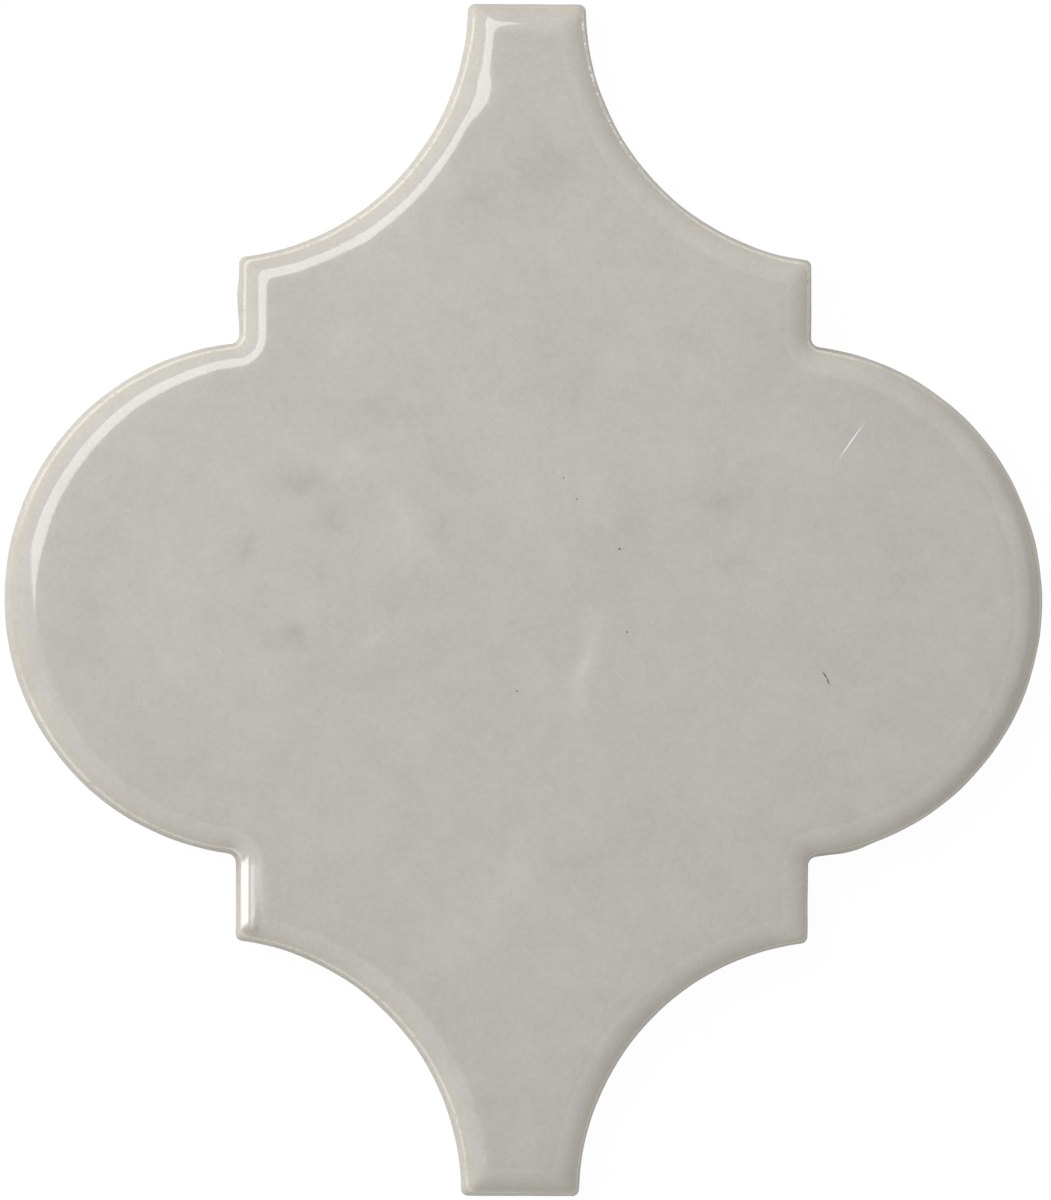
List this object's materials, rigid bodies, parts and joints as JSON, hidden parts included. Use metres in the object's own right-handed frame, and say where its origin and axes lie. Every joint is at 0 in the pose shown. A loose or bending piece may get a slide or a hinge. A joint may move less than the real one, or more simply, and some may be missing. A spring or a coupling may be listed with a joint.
{
  "type": "arabesque wall tile",
  "caption": "Arabesque wall tile with round lobes, straight steps, hollow flanks and narrow necks, a sloping glazed rim and a keyed back, laid nested to cover a wall.",
  "frame": {"origin": "middle of the back, on the plane that is bonded to the wall", "axes": "+Z out of the glazed face, +Y along the necks, +X across the lobes"},
  "size_m": [0.1324, 0.152, 0.008],
  "materials": {
    "grey_glaze": "gloss pale warm-grey glaze, paler and creamier where it runs thin over the rim; bare fired clay on the back"
  },
  "bodies": {
    "root": {"arabesque_tile": "grey_glaze"}
  },
  "joints": []
}
